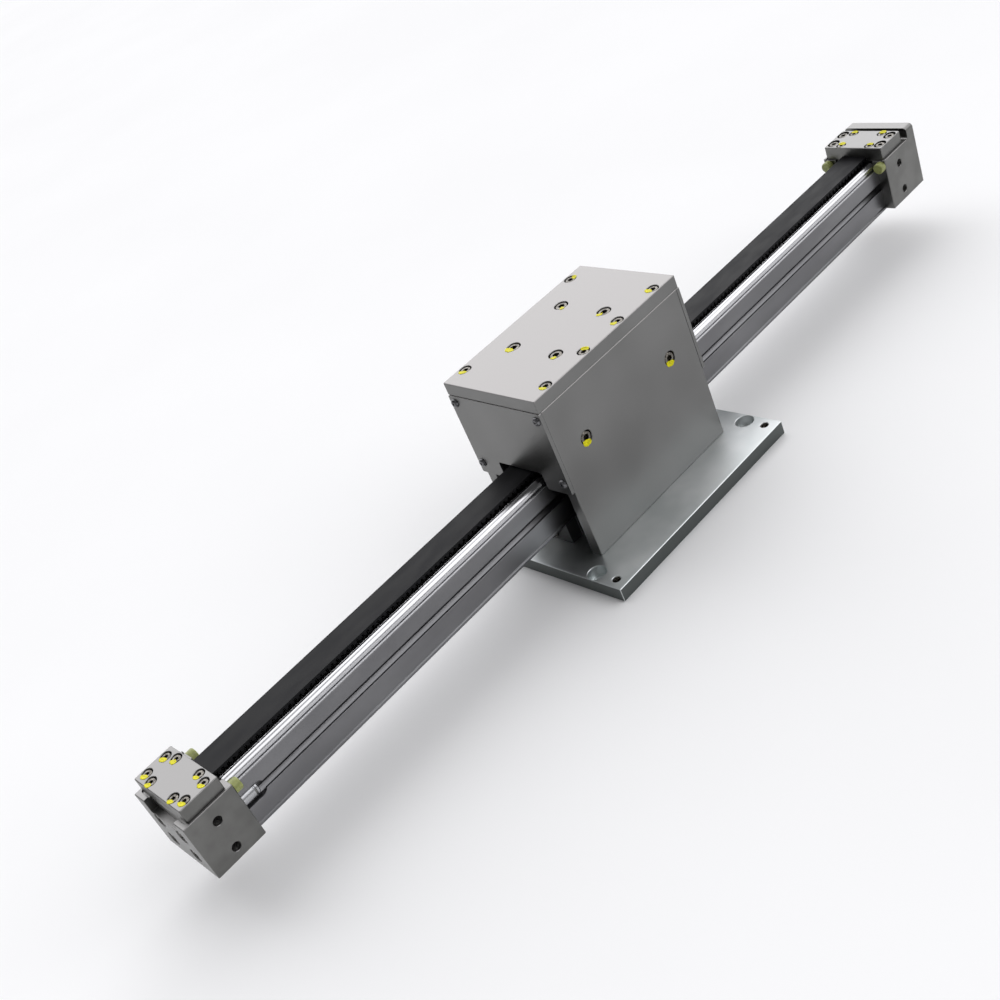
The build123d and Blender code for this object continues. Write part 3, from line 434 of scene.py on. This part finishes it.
# Radius, depth and pitch of the M8 and M6 threads, and where the tapped holes are
large_thread, medium_thread = (3.38 * mm, 9 * mm, 1.25 * mm), (2.48 * mm, 9 * mm, 1.0 * mm)
base_tap_x, base_tap_y = 96.5, 79
near_tap_x, far_tap_x = -422, 405
block_tap_levels = (46.5, 72.5)

base_holes = [((x * mm, y * mm, base_corner.z), up, *large_thread)
              for x in (-base_tap_x, base_tap_x) for y in (-base_tap_y, base_tap_y)]
threads("base_threads", carriage, base_holes, "bright")
for name, x in (("near", near_tap_x), ("far", far_tap_x)):
    low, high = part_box("end_block_" + name)
    holes = [((x * mm, low.y, z * mm), front, *large_thread) for z in block_tap_levels]
    holes += [((x * mm, high.y, z * mm), back, *medium_thread) for z in block_tap_levels]
    threads(f"block_threads_{name}", profile_set, holes, "block")


# The bright sleeves on the two keys of the near block, seen in the profile's windows
def key_sleeves():
    """A turned sleeve over each key, of which the slot's window shows a rounded strip with a groove."""
    mesh = bmesh.new()
    block_gap, weld = 0.05 * mm, 0.01 * mm
    start_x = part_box("profile")[0].x + block_gap
    sleeve, groove, end_round = 6.2, 5.7, 5.6
    outline = [(0, sleeve), (11.8, sleeve), (12.2, groove), (13.0, groove), (13.4, sleeve), (14.8, sleeve),
               (15.4, end_round)]
    centre_y, floor_y, centre_z = 16.3, 18.25, 59.5
    steps = 24
    for side in (-1, 1):
        closing = [[(start_x + along * mm, side * floor_y * mm, centre_z * mm)] * (steps + 2)
                   for along in (outline[0][0], outline[-1][0])]
        rows = [closing[0]]
        for along, radius in outline:
            half_angle = math.acos((floor_y - centre_y) / radius)
            row = []
            for step in range(steps + 1):
                angle = half_angle * (2 * step / steps - 1)
                y, z = centre_y + radius * math.cos(angle), centre_z + radius * math.sin(angle)
                row.append((start_x + along * mm, side * y * mm, z * mm))
            rows.append(row + row[:1])
        rows.append(closing[1])
        add_grid(mesh, rows)
    bmesh.ops.remove_doubles(mesh, verts=mesh.verts, dist=weld)
    piece("slot_key_sleeves", mesh, "ground", profile_set)


key_sleeves()


# The belt where it passes straight under the idlers, seen only when the profile has moved
def belt_bridge():
    """A toothed strip between the two runs, in step with the near run's teeth."""
    low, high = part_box("belt_run_near")
    far_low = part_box("belt_run_far")[0]
    belt_thickness, pitch, root_width, tip_width = 1.74 * mm, 5 * mm, 3.2 * mm, 2.0 * mm
    root = high.z - belt_thickness
    mesh = bmesh.new()
    outline = [(high.x, high.z), (far_low.x, high.z), (far_low.x, root)]
    centre = far_low.x - root_width
    while centre - root_width / 2 > high.x:
        outline += [(centre + root_width / 2, root), (centre + tip_width / 2, low.z),
                    (centre - tip_width / 2, low.z), (centre - root_width / 2, root)]
        centre -= pitch
    outline.append((high.x, root))
    edges = [[mesh.verts.new((x, y, z)) for x, z in outline] for y in (low.y, high.y)]
    count = len(outline)
    for i in range(count):
        j = (i + 1) % count
        mesh.faces.new((edges[0][i], edges[0][j], edges[1][j], edges[1][i]))
    mesh.faces.new(edges[0])
    mesh.faces.new(edges[1])
    piece("belt_bridge", mesh, "belt", profile_set)


belt_bridge()


# Studio: a pale floor, a broad soft sky behind the object and a darker room in front
def floor():
    """A pale matt paper floor that catches the object's shadow, barely waved."""
    mesh = bmesh.new()
    reach = 14.0
    corners = [mesh.verts.new((x * reach, y * reach, 0)) for x, y in ((-1, -1), (1, -1), (1, 1), (-1, 1))]
    mesh.faces.new(corners)
    data = bpy.data.meshes.new("studio_floor")
    mesh.to_mesh(data)
    mesh.free()
    made = bpy.data.objects.new("studio_floor", data)
    bpy.context.scene.collection.objects.link(made)
    material = finish("floor_paper", ("#f4f4f4", "#f6f6f6"), (0.9, 1.0), (400, even, 3), (2, even, 1),
                      depth=0.01, edge=0.1, Specular_IOR_Level=0.0)
    data.materials.append(material)


def glow_towards(tree, direction, towards, half_angle, fade, strength):
    """A soft round patch of sky: full within the half angle, and gone after the fade, in degrees."""
    aim = add(tree, "VectorMath", {1: Vector(towards).normalized()}, {0: direction}, operation="DOT_PRODUCT")
    gone, full = (math.cos(math.radians(angle)) for angle in (half_angle + fade, half_angle))
    patch = {"From Min": gone, "From Max": full, "To Min": 0.0, "To Max": strength}
    glow = add(tree, "MapRange", patch, {"Value": aim.outputs["Value"]}, interpolation_type="SMOOTHSTEP")
    return glow.outputs[0]


def sky():
    """The room: a broad soft light above and behind, a smaller one in front, and a dim room around them."""
    room_strength = 0.22
    world = bpy.data.worlds.new("studio_room")
    bpy.context.scene.world = world
    world.use_nodes = True
    tree = world.node_tree
    tree.nodes.clear()
    direction = add(tree, "TexCoord").outputs["Generated"]
    behind = glow_towards(tree, direction, (0.44, 0.7, 0.56), half_angle=29, fade=32, strength=2.05)
    in_front = glow_towards(tree, direction, (0.48, -0.62, 0.62), half_angle=16, fade=20, strength=1.8)
    both = add(tree, "Math", {}, {0: behind, 1: in_front}, operation="ADD")
    total = add(tree, "Math", {1: room_strength}, {0: both.outputs[0]}, operation="ADD")
    glow = add(tree, "Background", {"Color": linear("#fdfdff")}, {"Strength": total.outputs[0]})
    add(tree, "OutputWorld", links={"Surface": glow.outputs[0]})


def camera():
    """The photograph's viewpoint, fitted to corners and screws; tilt, roll and turn are in degrees."""
    place = (-548.8 * mm, -719.9 * mm, 622.7 * mm)
    tilt, roll, turn = 54.591, 20.864, -45.518
    data = bpy.data.cameras.new("photo_camera")
    data.sensor_width, data.lens = 36.0, 47.98
    data.clip_start, data.clip_end = 0.05, 60
    made = bpy.data.objects.new("photo_camera", data)
    made.location = place
    made.rotation_euler = Euler([math.radians(angle) for angle in (tilt, roll, turn)], "XYZ")
    bpy.context.scene.collection.objects.link(made)
    bpy.context.scene.camera = made


floor()
sky()
camera()
bpy.context.scene.view_settings.view_transform = "Standard"
